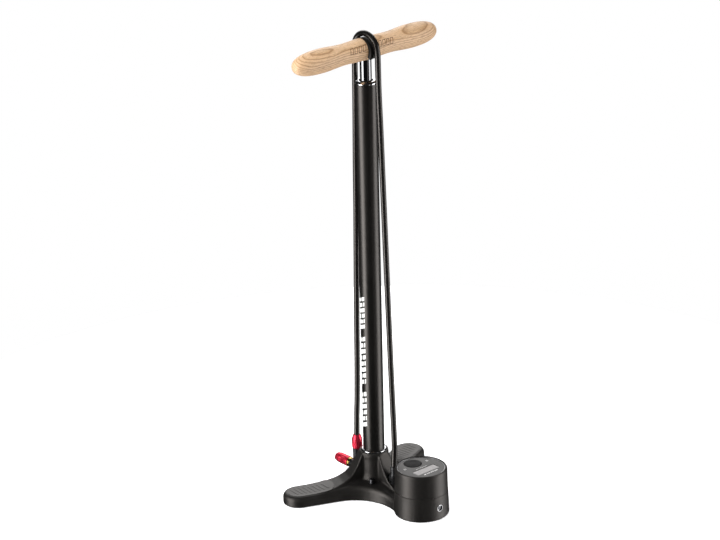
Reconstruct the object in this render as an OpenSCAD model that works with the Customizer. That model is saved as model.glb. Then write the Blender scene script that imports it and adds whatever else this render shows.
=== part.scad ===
// Floor pump for bicycle tyres, parked for storage: handle down, hose over the handle.
// Millimetres. +Z up, the handle lies along X, the gauge is towards -Y.

/* [Barrel and rod] */
// Outer diameter of the barrel
barrel_d = 30; // [28:0.5:32]
// Wall of the barrel
barrel_wall = 1.5; // [1.2:0.1:2]
// Height of the barrel's top edge above the floor
barrel_top = 603; // [560:1:620]
// Diameter of the piston rod
rod_d = 16; // [14:0.5:16]
// Radial clearance of the running fits
fit = 0.05; // [0.02:0.01:0.09]

/* [Handle] */
// Overall length of the handle
handle_len = 250; // [246:1:260]
// Height of the handle's centre line above the floor
handle_z = 651; // [645:1:652]
// Largest diameter, in the middle of each grip
grip_d = 32.8; // [30:0.2:36]
// Smallest diameter, at each waist
waist_d = 28.8; // [28:0.2:31]
// Diameter at the middle, beside the groove
middle_d = 31.2; // [31:0.2:33]
// Width of the groove that the hose lies in
groove_w = 15; // [14:0.5:17]

/* [Base] */
// Distance from the rod's axis to the centre of each pedal's round end
pedal_reach = 112; // [105:1:125]
// Angle that each pedal is swept back from the handle's direction
pedal_sweep = 22.5; // [18:0.5:27]
// Radius of the pedal's round end
pedal_r = 22.6; // [20:0.2:26]
// Height of the pedal's pad above the floor
pedal_h = 16; // [14:0.5:19]
// Outer radius of the hub below its collar
hub_r = 20; // [19.5:0.5:22]
// Height of the hub's mouth above the floor
hub_h = 64; // [60:1:70]

/* [Gauge] */
// Distance from the rod's axis to the gauge's axis
gauge_reach = 98; // [96:1:106]
// Radius of the cup at the floor
cup_r = 38.5; // [37.5:0.5:40]
// Radius of the gauge's top rim
rim_r = 36.5; // [36:0.5:37]
// Height of the rim above the floor
gauge_h = 68.6; // [66:0.2:72]
// Height of the seam between the cup and the housing
seam_z = 35.5; // [33:0.5:38]

/* [Hose and chuck] */
// Outer diameter of the hose
hose_d = 8; // [7:0.5:8]
// Diameter of the red parts on the hose's end
chuck_d = 14.8; // [14:0.2:16]
// Height of the parked chuck's axis above the floor
chuck_z = 25; // [24:0.5:27]

/* [Hidden] */
$fn = 64;
tiny = 0.01;                    // overshoot of a cut past a face
saddle_r = 18.4;                // outer radius of the groove's lining, just inside the hose
lining_r = 12.5;                // inner radius of the lining
floor_gap = 0.8;                // the casting stands this high on its rubber feet
gauge_y = -gauge_reach;
pedal = [pedal_reach * cos(pedal_sweep), pedal_reach * sin(pedal_sweep)];
front_y = gauge_reach + cup_r;  // from the axis to the front of the cup
rear_y = pedal[1] + pedal_r;    // from the axis to the back of the pedals
hub_y = (front_y - rear_y) / 2; // puts the origin under the middle of the box

barrel_r = barrel_d / 2;
bore_r = barrel_r - barrel_wall;
rod_r = rod_d / 2;
rod_in_r = rod_r - 1.5;
barrel_foot = 16;               // shoulder that the barrel stands on
seat_z = 12;                    // underside of the check valve's seat
chamber_z = 4;                  // floor of the air chamber under the valve
piston_z = 20;
piston_h = 24;
bumper_h = 8;
bush_len = 60;
bush_z = barrel_top - bush_len;
rod_foot_z = piston_z + piston_h + 0.5;
rod_top_z = handle_z + 2;

deck_z = 23;                    // height of the deck around the hub
deck_r = 36;                    // the deck is level as far out as this
air_z = 8;                      // height of the drilled air passage
fitting_y = -42;                // the hose leaves the base here
fitting_top = 50;
fillet_r = 62;                  // concave outline between pedal and cup
rear_fillet_r = 75;             // concave outline between the pedals
plug_dir = 222;                 // direction of the small plug on the deck
plug_reach = 28;

button_y = 17;                  // from the gauge's centre
button_r = 12.5;
lcd = [39.5, 13];
lcd_y = -10;
plate_r = 33.3;
plate_z = gauge_h - 2.2;
housing_wall = 2.5;
mouth_r = rim_r - housing_wall;
cavity_r = rim_r - 3.5;
post_reach = 29;                // the housing's screw posts, from the gauge's axis
post_dirs = [45, 135, 225, 315];
spigot_r = 35.5;
clamp_z = 18;
cup_floor = 6;

hose_r = hose_d / 2;
ferrule_y = 36;                 // the hose comes down into the chuck here
ferrule_z = [52.8, 73.8];
chuck_y = [24, 48.8];           // black head, from the hub end to the brass ring
ring_len = 3.8;                 // brass ring between the head and the collar
collar_y = [53, 79.4];
port_r = 4;
port_len = 12;
arch_c = [-1.5, 649];           // centre of the hose's arch over the handle, in Y and Z

// The hose's route in Y and Z, from its fitting to the top of the ferrule
route = [
    [-42, 50], [-42.5, 62], [-43.5, 80], [-43, 105], [-41.5, 140], [-39.5, 190], [-37.5, 245],
    [-35.5, 305], [-33.5, 365], [-31.5, 425], [-29.5, 485], [-27.5, 545], [-25.5, 595],
    [-25, 628], [-24.5, 648], [-21.5, 660.5], [-13, 669], [-1.5, 672], [10, 669],
    [18.5, 660.5], [21.5, 648], [22, 628], [22.5, 595], [23.5, 545], [25, 485], [26, 425], [27.5, 365],
    [29, 305], [30.5, 245], [31.5, 190], [33, 140], [35, 104], [36, 73.8]
];
rings_per_span = 2;
hose_sides = 10;

black = [0.09, 0.09, 0.09];
dark = [0.2, 0.2, 0.2];
rubber = [0.13, 0.13, 0.13];
steel = [0.75, 0.76, 0.78];
brass = [0.85, 0.72, 0.35];
red = [0.72, 0.13, 0.18];
wood = [0.8, 0.66, 0.52];

// ---- shared shapes ----

// Stands its children on the rod's axis
module on_axis() translate([0, hub_y, 0]) children();

// A straight tube from one height to another
module tube(r_out, r_in, z0, z1) {
    translate([0, 0, z0]) difference() {
        cylinder(r = r_out, h = z1 - z0);
        translate([0, 0, -tiny]) cylinder(r = r_in, h = z1 - z0 + 2 * tiny);
    }
}

// A round bar along +Y at a height
module bar_y(r, y0, y1, z) translate([0, y0, z]) rotate([-90, 0, 0]) cylinder(r = r, h = y1 - y0);

// A solid of revolution whose outline is given as [radius, height] points
module turned(points) rotate_extrude() polygon(points);

// ---- base ----

// Points along an arc
function arc(centre, r, from, to, steps = 16) = [for (i = [0:steps])
    let (a = from + (to - from) * i / steps) centre + r * [cos(a), sin(a)]];

// Centre of the circle of radius fillet_r that touches the pedal's front edge and a circle
// just inside the cup, on one side
waist_r = cup_r - 2;
function fillet_centre(side) =
    let (out = [side * cos(pedal_sweep), sin(pedal_sweep)],
         edge = [side * sin(pedal_sweep), -cos(pedal_sweep)],
         start = edge * (pedal_r + fillet_r) - [0, gauge_y],
         along = start * out,
         reach = waist_r + fillet_r)
    start + [0, gauge_y] + out * (-along + sqrt(along * along - start * start + reach * reach));

// Outline of the foot seen from above: pedal, rear hollow, pedal, hollow, cup, hollow
module base_plan() {
    rear = [0, (pedal_r + rear_fillet_r) / cos(pedal_sweep)];
    left = fillet_centre(-1);
    right = fillet_centre(1);
    to_cup = atan2(gauge_y - left[1], -left[0]);
    polygon(concat(
        arc(pedal, pedal_r, pedal_sweep - 90, pedal_sweep + 90, 24),
        arc(rear, rear_fillet_r, pedal_sweep - 90, -90 - pedal_sweep),
        arc([-pedal[0], pedal[1]], pedal_r, 90 - pedal_sweep, 270 - pedal_sweep, 24),
        arc(left, fillet_r, 90 - pedal_sweep, to_cup),
        arc([0, gauge_y], waist_r, to_cup + 180, 360 - to_cup, 8),
        arc(right, fillet_r, 180 - to_cup, 90 + pedal_sweep)));
}

// Rib that sweeps up from a leg to the hub's collar, tapering towards it
module rib(reach, foot_w) {
    intersection() {
        translate([0, 0, floor_gap]) linear_extrude(hub_h)
            polygon([[0, -9], [hub_r, -9], [reach, -foot_w], [reach, foot_w], [hub_r, 9], [0, 9]]);
        rotate([90, 0, 0]) translate([0, 0, -40]) linear_extrude(80) polygon([
            [0, floor_gap + 2], [0, hub_h - 3], [hub_r + 1, hub_h - 3], [24, 55], [28, 46.5],
            [33, 38], [40, 30], [50, 24.2], [62, 20.2], [78, 17.2], [100, pedal_h - 1.5],
            [100, floor_gap + 2]
        ]);
    }
}

module base_casting() color(black) on_axis() difference() {
    union() {
        // deck: the plan cut off by a turned surface that falls from the hub to the pads
        intersection() {
            translate([0, 0, floor_gap]) linear_extrude(deck_z) base_plan();
            turned([[0, 0], [0, deck_z], [deck_r, deck_z - 0.5], [60, 18.8], [80, 16.6],
                    [96, pedal_h], [150, pedal_h], [150, 0]]);
        }
        for (a = [pedal_sweep, 180 - pedal_sweep]) rotate(a) rib(94, pedal_r - 1.2);
        rotate(-90) rib(66, 14);
        // hub with its flared collar
        turned([[0, floor_gap], [hub_r + 3, floor_gap], [hub_r + 3, deck_z], [hub_r + 1, deck_z + 4],
                [hub_r, deck_z + 10], [hub_r, hub_h - 10], [hub_r + 0.6, hub_h - 7],
                [hub_r + 0.6, hub_h], [0, hub_h]]);
        // cup under the gauge
        translate([0, gauge_y, floor_gap])
            cylinder(r1 = cup_r, r2 = rim_r + 0.8, h = seam_z - floor_gap);
        translate([0, fitting_y, floor_gap]) cylinder(r = 10.5, h = 25.5 - floor_gap);
        bar_y(6.5, 12, 24, chuck_z);
    }
    // barrel socket with a recess for the polished ring at its mouth
    translate([0, 0, barrel_foot]) cylinder(r = barrel_r, h = hub_h);
    translate([0, 0, hub_h - 3]) cylinder(r = barrel_r + 3, h = 4);
    // valve chamber and the air passage to the fitting and the sensor
    translate([0, 0, chamber_z]) cylinder(r = 7, h = seat_z);
    translate([0, 0, seat_z]) cylinder(r = 12, h = 5);
    bar_y(2.2, -72, 0, air_z);
    translate([0, fitting_y, air_z - 2.2]) cylinder(r = 2.2, h = 30);
    translate([0, fitting_y, 17]) cylinder(r = 6, h = 20);
    // gauge cup: cavity, spigot seat and the drillings for its screws
    translate([0, gauge_y, cup_floor]) cylinder(r = cavity_r, h = 40);
    translate([0, gauge_y, seam_z - 4.5]) cylinder(r = spigot_r, h = 10);
    for (a = post_dirs) translate([0, gauge_y, 0]) rotate(a) translate([post_reach, 0, 0]) {
        cylinder(r = 1.6, h = 10);
        cylinder(r = 3.2, h = 4);
    }
    bar_y(4.75, gauge_y - cup_r - 1, gauge_y - cup_r + 2.5, clamp_z);
    bar_y(1.6, gauge_y - cup_r - 1, gauge_y - 30, clamp_z);
    // seat of the fitting's flange, and the hollow that the parked chuck lies in
    translate([0, fitting_y, 25]) cylinder(r = 9.2, h = 20);
    bar_y(7.5, 23.6, 60, chuck_z);
    // sockets for the plug and the parking stub
    rotate(plug_dir) translate([plug_reach, 0, 14]) cylinder(r = 2.5, h = 20);
    bar_y(3.4, 16, 30, chuck_z);
    // pads for the rubber feet, and a lightening pocket in each pedal
    for (side = [-1, 1]) translate([pedal[0] * side, pedal[1], 0]) cylinder(r = 14, h = 3);
    for (side = [-1, 1]) rotate(side > 0 ? pedal_sweep : 180 - pedal_sweep)
        translate([48, -13, 0]) cube([44, 26, 11]);
    translate([0, gauge_y, 0]) tube(25, 17, 0, 3);
}

module rubber_feet() color(rubber) on_axis() {
    for (side = [-1, 1]) translate([pedal[0] * side, pedal[1], 0]) cylinder(r = 14, h = 3);
    translate([0, gauge_y, 0]) tube(25, 17, 0, 3);
}

module barrel() color(black) on_axis() tube(barrel_r, bore_r, barrel_foot, barrel_top);

// Polished ring that closes the gap between the hub and the barrel
module barrel_ring() color(steel) on_axis() turned([
    [barrel_r, hub_h - 3], [barrel_r + 3, hub_h - 3], [barrel_r + 3, hub_h + 0.8],
    [barrel_r + 1.6, hub_h + 1.6], [barrel_r, hub_h + 1.6]]);

module barrel_seal() color(rubber) on_axis() tube(bore_r, bore_r - 2, barrel_foot, barrel_foot + 2);

// Plug screwed into the barrel's top, closed by the wiper
module barrel_cap() color(black) on_axis() difference() {
    turned([[0, barrel_top - 16], [bore_r, barrel_top - 16], [bore_r, barrel_top],
            [0, barrel_top]]);
    translate([0, 0, barrel_top - 17]) cylinder(r = rod_r + 2, h = 20);
}

module cap_ring() color(steel) on_axis() turned([
    [rod_r + 2, barrel_top], [barrel_r - 0.2, barrel_top], [barrel_r - 0.2, barrel_top + 1.6],
    [barrel_r - 2.4, barrel_top + 4], [rod_r + 2, barrel_top + 4]]);

module rod_bush() color(dark) on_axis()
    tube(bore_r, rod_r + fit, bush_z, barrel_top - 16);

module rod_wiper() color(rubber) on_axis()
    tube(rod_r + 2, rod_r + fit, barrel_top - 16, barrel_top + 4.6);

// ---- check valve ----

module valve_seat() color(brass) on_axis() difference() {
    translate([0, 0, seat_z]) cylinder(r = 12, h = barrel_foot - seat_z);
    translate([0, 0, seat_z - tiny]) cylinder(r = 3, h = 10);
}

module valve_poppet() color(rubber) on_axis() translate([0, 0, seat_z - 1.7]) {
    cylinder(r = 5, h = 1.6);
    translate([0, 0, 1.6 - tiny]) cylinder(r = 2.5, h = 2.5);
}

// Coil spring between the chamber's floor and the poppet
module valve_spring() color(steel) on_axis() {
    wire = 0.4;
    sides = 6;
    turns = 4;
    steps = 16 * turns;
    z0 = chamber_z + wire;
    rise = seat_z - 1.7 - wire - z0;
    points = [for (i = [0:steps], k = [0:sides - 1])
        let (a = 360 * turns * i / steps, b = 360 * k / sides)
        [(3.6 + wire * cos(b)) * cos(a), (3.6 + wire * cos(b)) * sin(a),
         z0 + rise * i / steps + wire * sin(b)]];
    sweep(points, steps + 1, sides);
}

// Closed skin over rings of points, ring after ring, each turning the same way
module sweep(points, rings, sides) {
    skin = [for (i = [0:rings - 2], k = [0:sides - 1])
        [i * sides + k, (i + 1) * sides + k, (i + 1) * sides + (k + 1) % sides,
         i * sides + (k + 1) % sides]];
    ends = [[for (k = [0:sides - 1]) k],
            [for (k = [sides - 1:-1:0]) (rings - 1) * sides + k]];
    polyhedron(points = points, faces = concat(skin, ends));
}

module deck_plug() color(dark) on_axis() rotate(plug_dir) translate([plug_reach, 0, 14]) {
    cylinder(r = 2.5, h = 10);
    translate([0, 0, deck_z - 14]) cylinder(r = 4.6, h = 2);
    translate([0, 0, deck_z - 12]) cylinder(r = 3.4, h = 4.5);
}

// ---- gauge ----

module at_gauge() on_axis() translate([0, gauge_y, 0]) children();

module gauge_housing() color(black) at_gauge() {
    difference() {
        turned([[0, seam_z], [rim_r + 0.8, seam_z], [rim_r, gauge_h - 3],
                [rim_r - 0.7, gauge_h - 1], [rim_r - 2, gauge_h], [0, gauge_h]]);
        translate([0, 0, seam_z - 1]) cylinder(r = cavity_r, h = plate_z - 2.5 - seam_z);
        // seat of the face plate, and the window under it
        translate([0, 0, plate_z - 1.4]) cylinder(r = mouth_r, h = 10);
        translate([0, 0, plate_z - 8]) cylinder(r = mouth_r - 3, h = 10);
    }
    // posts that reach down to the cup's floor, each with a web to the wall
    for (a = post_dirs) rotate(a) difference() {
        union() {
            translate([post_reach, 0, cup_floor + 0.2])
                cylinder(r = 3.6, h = plate_z - 8 - cup_floor - 0.2);
            translate([post_reach, -1.5, seam_z + 1]) cube([5, 3, plate_z - 10 - seam_z]);
        }
        translate([post_reach, 0, 0]) cylinder(r = 1.6, h = 14);
    }
}

// Ring that seals and centres the housing on the cup
module gauge_seal() color(rubber) at_gauge() tube(spigot_r, cavity_r, seam_z - 4.5, seam_z);

module gauge_ring() color(steel) at_gauge() tube(mouth_r, plate_r - 0.6, plate_z - 1.4, gauge_h - 1);

module gauge_face() color(dark) at_gauge() difference() {
    translate([0, 0, plate_z - 1.4]) cylinder(r = plate_r - 0.6, h = 2.2);
    translate([0, button_y, plate_z - 3]) cylinder(r = button_r + 0.3, h = 6);
    translate([-lcd[0] / 2, lcd_y - lcd[1] / 2, plate_z - 3]) cube([lcd[0], lcd[1], 6]);
}

module gauge_display() color([0.69, 0.65, 0.64]) at_gauge()
    translate([-lcd[0] / 2, lcd_y - lcd[1] / 2, plate_z - 3]) cube([lcd[0], lcd[1], 3.4]);

module gauge_button() color(rubber) at_gauge() translate([0, button_y, 0]) turned([
    [0, plate_z - 1.8], [button_r, plate_z - 1.8], [button_r, plate_z + 1], [button_r - 0.8, plate_z + 1.6],
    [0, plate_z + 1.9]]);

module gauge_board() color([0.1, 0.35, 0.2]) at_gauge() difference() {
    translate([0, 0, plate_z - 6.6]) cylinder(r = mouth_r - 3.4, h = 1.6);
    translate([0, 24, plate_z - 7]) cylinder(r = 3, h = 3);
}

module gauge_battery() color(steel) at_gauge() translate([0, -14, plate_z - 9.8])
    cylinder(r = 10, h = 3.2);

// Sensor that stands over the end of the air passage
module pressure_sensor() color(brass) at_gauge() translate([0, 24, cup_floor]) {
    cylinder(r = 5, h = 9);
    cylinder(r = 2, h = 16);
}

module housing_screws() color(steel) at_gauge() for (a = post_dirs) rotate(a)
    translate([post_reach, 0, 1.6]) {
        cylinder(r = 1.6, h = 8);
        cylinder(r = 3.1, h = 2.4);
    }

module clamp_eyelet() color(steel) at_gauge() difference() {
    bar_y(4.75, -cup_r + 0.2, -cup_r + 2.5, clamp_z);
    bar_y(2.75, -cup_r - 1, -cup_r + 3, clamp_z);
}

module clamp_screw() color(dark) at_gauge() {
    bar_y(2.6, -cup_r + 1.8, -cup_r + 2.5, clamp_z);
    bar_y(1.6, -cup_r + 2.4, -32, clamp_z);
}

// ---- hose and chuck ----

module hose_fitting() color(steel) on_axis() translate([0, fitting_y, 0]) difference() {
    turned([[0, 17], [6, 17], [6, 25], [8.5, 25], [8.5, 27], [6, 27.5], [6, 38], [5.4, 39],
            [5.4, fitting_top], [0, fitting_top]]);
    translate([0, 0, 16]) cylinder(r = 2, h = 40);
}

module hose_nut() color(black) on_axis() translate([0, fitting_y, 29]) difference() {
    cylinder(r = 8, h = 7, $fn = 6);
    translate([0, 0, -1]) cylinder(r = 6, h = 9);
}

// Catmull-Rom curve through the route's points
function spot(i) =
    i < 0 ? 2 * route[0] - route[1] :
    i >= len(route) ? 2 * route[len(route) - 1] - route[len(route) - 2] : route[i];
function along(i, t) =
    let (a = spot(i - 1), b = spot(i), c = spot(i + 1), d = spot(i + 2))
    0.5 * (2 * b + (c - a) * t + (2 * a - 5 * b + 4 * c - d) * t * t
           + (3 * b - a - 3 * c + d) * t * t * t);
centres = [
    for (i = [0:len(route) - 2], k = [0:rings_per_span - 1]) along(i, k / rings_per_span),
    route[len(route) - 1]
];
function heading(i) =
    i == 0 ? [0, 1] :
    i == len(centres) - 1 ? [0, -1] :
    let (d = centres[i + 1] - centres[i - 1]) d / norm(d);

module hose() color(black) on_axis() {
    points = [for (i = [0:len(centres) - 1], k = [0:hose_sides - 1])
        let (d = heading(i), a = 360 * k / hose_sides)
        [hose_r * cos(a), centres[i][0] - d[1] * hose_r * sin(a),
         centres[i][1] + d[0] * hose_r * sin(a)]];
    sweep(points, len(centres), hose_sides);
}

module hose_ferrule() color(red) on_axis() translate([0, ferrule_y, 0]) difference() {
    turned([[0, ferrule_z[0]], [chuck_d / 2 - 0.6, ferrule_z[0]], [chuck_d / 2, ferrule_z[0] + 1.5],
            [chuck_d / 2, ferrule_z[1] - 7], [hose_r + 1, ferrule_z[1]], [0, ferrule_z[1]]]);
    translate([0, 0, ferrule_z[0] - 1]) cylinder(r = 2, h = 30);
}

module chuck_body() color(dark) on_axis() difference() {
    union() {
        translate([0, ferrule_y, chuck_z]) cylinder(r = 6.2, h = ferrule_z[0] - chuck_z);
        bar_y(7, chuck_y[0], 44, chuck_z);
        bar_y(5.8, 43, chuck_y[1], chuck_z);
    }
    translate([0, ferrule_y, chuck_z]) cylinder(r = 2, h = 40);
    bar_y(2, 30, chuck_y[1] + 1, chuck_z);
    bar_y(3.4, chuck_y[0] - 1, 30, chuck_z);
}

module chuck_ring() color(brass) on_axis() difference() {
    bar_y(6.9, chuck_y[1], chuck_y[1] + ring_len, chuck_z);
    bar_y(4, chuck_y[1] - 1, chuck_y[1] + ring_len + 1, chuck_z);
}

module chuck_seal() color(rubber) on_axis() difference() {
    bar_y(4, chuck_y[1], chuck_y[1] + ring_len, chuck_z);
    bar_y(1.2, chuck_y[1] - 1, chuck_y[1] + ring_len + 1, chuck_z);
}

module chuck_pin() color(brass) on_axis() bar_y(1.2, chuck_y[1] - 8, chuck_y[1] + 7.6, chuck_z);

module chuck_collar() color(red) on_axis() difference() {
    translate([0, 0, chuck_z]) rotate([-90, 0, 0]) turned([
        [0, collar_y[0]], [chuck_d / 2 - 0.6, collar_y[0]], [chuck_d / 2, collar_y[0] + 1],
        [chuck_d / 2, collar_y[1] - 6], [chuck_d / 2 - 2.4, collar_y[1]], [0, collar_y[1]]]);
    bar_y(port_r, collar_y[1] - port_len, collar_y[1] + 1, chuck_z);
    bar_y(2.5, collar_y[0] - 1, collar_y[1], chuck_z);
}

// Stub on the hub that the chuck's head is pushed onto
module chuck_dock() color(steel) on_axis() bar_y(3.4, 16, 30, chuck_z);

// ---- piston and rod ----

module piston() color(dark) on_axis() difference() {
    turned([[0, piston_z], [12.8, piston_z], [12.8, piston_z + 5], [10.8, piston_z + 5],
            [10.8, piston_z + 9], [12.8, piston_z + 9], [12.8, piston_z + 15],
            [11.6, piston_z + 15], [11.6, piston_z + 22], [12.8, piston_z + 22],
            [12.8, piston_z + piston_h], [0, piston_z + piston_h]]);
    translate([0, 0, piston_z - 1]) cylinder(r = 5 + fit, h = piston_h + 2);
    translate([0, 0, piston_z - 1]) cylinder(r = 8.5, h = 4.5);
}

module piston_seal() color(rubber) on_axis()
    tube(bore_r - fit, 10.8, piston_z + 5, piston_z + 9);

module piston_guide() color([0.9, 0.88, 0.82]) on_axis()
    tube(bore_r - fit, 11.6, piston_z + 15, piston_z + 22);

module piston_rod() color(steel) on_axis() tube(rod_r, rod_in_r, rod_foot_z, rod_top_z);

// Plug in the rod's lower end: its spigot runs through the piston
module rod_foot() color(steel) on_axis() difference() {
    union() {
        translate([0, 0, rod_foot_z]) cylinder(r = rod_in_r, h = 20);
        translate([0, 0, piston_z + 3.8]) cylinder(r = 5, h = piston_h);
    }
    translate([0, 0, piston_z]) cylinder(r = 2.5, h = 30);
}

module piston_screw() color(steel) on_axis() {
    translate([0, 0, piston_z + 0.3]) cylinder(r = 7, h = 2.8);
    translate([0, 0, piston_z + 3.1]) cylinder(r = 5, h = 0.7);
    translate([0, 0, piston_z + 3.7]) cylinder(r = 2.5, h = 20);
}

module rod_plug() color(steel) on_axis() difference() {
    translate([0, 0, rod_top_z - 30]) cylinder(r = rod_in_r, h = 30);
    translate([0, 0, rod_top_z - 22]) cylinder(r = 3, h = 30);
}

module rod_bumper() color(rubber) on_axis()
    tube(rod_r + 3.5, rod_r, rod_foot_z + 0.3, rod_foot_z + 0.3 + bumper_h);

// ---- handle ----

// Radius of the handle at a distance from its middle: three smooth waves and a blunt end
tip_power = 2.6;                // how blunt the handle's ends are
function ease(t) = (1 - cos(180 * t)) / 2;
function handle_r(x) =
    let (waist_x = 40, grip_x = 78, end = handle_len / 2)
    (x < waist_x ? middle_d + (waist_d - middle_d) * ease(x / waist_x) :
     x < grip_x ? waist_d + (grip_d - waist_d) * ease((x - waist_x) / (grip_x - waist_x)) :
     grip_d * pow(max(0, 1 - pow((x - grip_x) / (end - grip_x), tip_power)), 1 / tip_power)) / 2;
// Stations along one half, closer together towards the end
handle_steps = 20;
handle_stations = [for (i = [0:handle_steps]) handle_len / 2 * sin(90 * i / (handle_steps + 1))];

module handle_blank() translate([0, 0, handle_z]) for (side = [0, 1]) mirror([side, 0, 0])
    rotate([0, 90, 0]) turned(concat([[0, 0]], [for (x = handle_stations) [handle_r(x), x]],
                                     [[0, handle_len / 2]]));

// The hose's arch seen along X, as a bar across the handle
module arch_bar(r, w) translate([-w / 2, arch_c[0], arch_c[1]]) rotate([0, 90, 0])
    cylinder(r = r, h = w);

module handle() color(wood) on_axis() difference() {
    handle_blank();
    // groove over the front, top and back
    difference() {
        translate([-groove_w / 2, -30, handle_z - 12]) cube([groove_w, 60, 40]);
        arch_bar(lining_r, groove_w + 1);
        translate([-groove_w, -14, handle_z - 20]) cube([2 * groove_w, 25, 16]);
    }
    translate([0, 0, handle_z - 25]) cylinder(r = rod_r, h = 27);
    translate([0, 0, handle_z - 10]) cylinder(r = 3.1, h = 40);
}

// Black lining of the groove, which the hose lies on
module hose_saddle() color(black) on_axis() difference() {
    intersection() {
        arch_bar(saddle_r, groove_w - 0.2);
        translate([-10, -30, handle_z - 12]) cube([20, 60, 40]);
    }
    arch_bar(lining_r, groove_w + 1);
    translate([-groove_w, -14, handle_z - 20]) cube([2 * groove_w, 25, 16]);
    translate([0, 0, handle_z]) cylinder(r = 6.5, h = 30);
}

module handle_washer() color(steel) on_axis()
    tube(6.3, 3.1, arch_c[1] + lining_r, arch_c[1] + lining_r + 1.2);

module handle_bolt() color(dark) on_axis() {
    head_z = arch_c[1] + lining_r + 1.2;
    difference() {
        union() {
            translate([0, 0, rod_top_z - 18]) cylinder(r = 3, h = head_z - rod_top_z + 18.2);
            translate([0, 0, head_z]) cylinder(r = 5.5, h = 3.2);
        }
        translate([0, 0, head_z + 1.2]) cylinder(r = 2.6, h = 5, $fn = 6);
    }
}

base_casting();
rubber_feet();
barrel();
barrel_ring();
barrel_seal();
barrel_cap();
cap_ring();
rod_bush();
rod_wiper();
valve_seat();
valve_poppet();
valve_spring();
deck_plug();
gauge_housing();
gauge_seal();
gauge_ring();
gauge_face();
gauge_display();
gauge_button();
gauge_board();
gauge_battery();
pressure_sensor();
housing_screws();
clamp_eyelet();
clamp_screw();
hose_fitting();
hose_nut();
hose();
hose_ferrule();
chuck_body();
chuck_ring();
chuck_seal();
chuck_pin();
chuck_collar();
chuck_dock();
piston();
piston_seal();
piston_guide();
piston_rod();
rod_foot();
rod_plug();
piston_screw();
rod_bumper();
handle();
hose_saddle();
handle_washer();
handle_bolt();
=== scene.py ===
import math

import bmesh
import bpy
import numpy as np
from mathutils import Matrix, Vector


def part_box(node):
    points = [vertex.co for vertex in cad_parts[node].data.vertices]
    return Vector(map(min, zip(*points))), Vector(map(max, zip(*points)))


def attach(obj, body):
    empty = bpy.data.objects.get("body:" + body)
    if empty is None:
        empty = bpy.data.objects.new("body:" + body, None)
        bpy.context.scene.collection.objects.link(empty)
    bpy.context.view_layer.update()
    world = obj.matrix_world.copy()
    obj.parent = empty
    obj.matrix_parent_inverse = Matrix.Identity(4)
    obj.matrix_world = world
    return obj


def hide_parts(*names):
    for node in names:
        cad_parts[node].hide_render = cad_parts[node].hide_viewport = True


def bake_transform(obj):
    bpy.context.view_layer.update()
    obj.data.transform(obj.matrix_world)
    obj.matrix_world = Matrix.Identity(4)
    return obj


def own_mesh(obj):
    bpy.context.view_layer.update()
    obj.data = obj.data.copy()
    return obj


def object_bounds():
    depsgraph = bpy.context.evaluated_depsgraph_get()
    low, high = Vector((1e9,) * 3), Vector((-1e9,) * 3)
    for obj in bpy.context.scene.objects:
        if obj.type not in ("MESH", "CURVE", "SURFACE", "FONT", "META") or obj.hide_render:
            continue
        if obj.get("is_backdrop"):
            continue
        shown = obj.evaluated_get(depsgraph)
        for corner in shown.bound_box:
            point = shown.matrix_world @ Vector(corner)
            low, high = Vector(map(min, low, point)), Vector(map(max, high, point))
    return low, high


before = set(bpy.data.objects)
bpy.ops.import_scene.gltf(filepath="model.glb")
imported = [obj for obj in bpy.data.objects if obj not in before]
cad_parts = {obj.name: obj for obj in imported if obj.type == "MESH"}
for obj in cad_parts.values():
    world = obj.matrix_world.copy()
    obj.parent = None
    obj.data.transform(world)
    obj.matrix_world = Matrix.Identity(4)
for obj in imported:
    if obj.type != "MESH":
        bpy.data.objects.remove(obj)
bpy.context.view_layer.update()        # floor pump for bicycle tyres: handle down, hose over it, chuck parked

mm = 0.001

# Camera: in front and to the left of the pump, a little above it, and leaning slightly, so
# that the barrel's top stands a little to the left of its foot.
rod_low, rod_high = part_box("piston_rod")
axis_y = (rod_low.y + rod_high.y) / 2
camera_azimuth = math.radians(-40.9)
camera_elevation = math.radians(21.5)
camera_lean = math.radians(1.325)
camera_distance = 4.097
aim_height = 0.333
aim_aside = 0.0138
focal_length = 149.2

back = np.array([math.sin(camera_azimuth) * math.cos(camera_elevation),
                 -math.cos(camera_azimuth) * math.cos(camera_elevation),
                 math.sin(camera_elevation)])
level = np.array([math.cos(camera_azimuth), math.sin(camera_azimuth), 0.0])
upright = np.cross(back, level)
right = level * math.cos(camera_lean) - upright * math.sin(camera_lean)
up = level * math.sin(camera_lean) + upright * math.cos(camera_lean)
spot = np.array([0.0, axis_y, aim_height]) - right * aim_aside + back * camera_distance
camera = bpy.data.objects.new("camera", bpy.data.cameras.new("camera"))
camera.data.lens = focal_length
camera.data.sensor_width = 36.0
camera.matrix_world = Matrix([*np.column_stack([right, up, back, spot]), [0, 0, 0, 1]])
camera.data.clip_start = 0.05
camera.data.clip_end = 50.0
bpy.context.scene.collection.objects.link(camera)
bpy.context.scene.camera = camera


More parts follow.
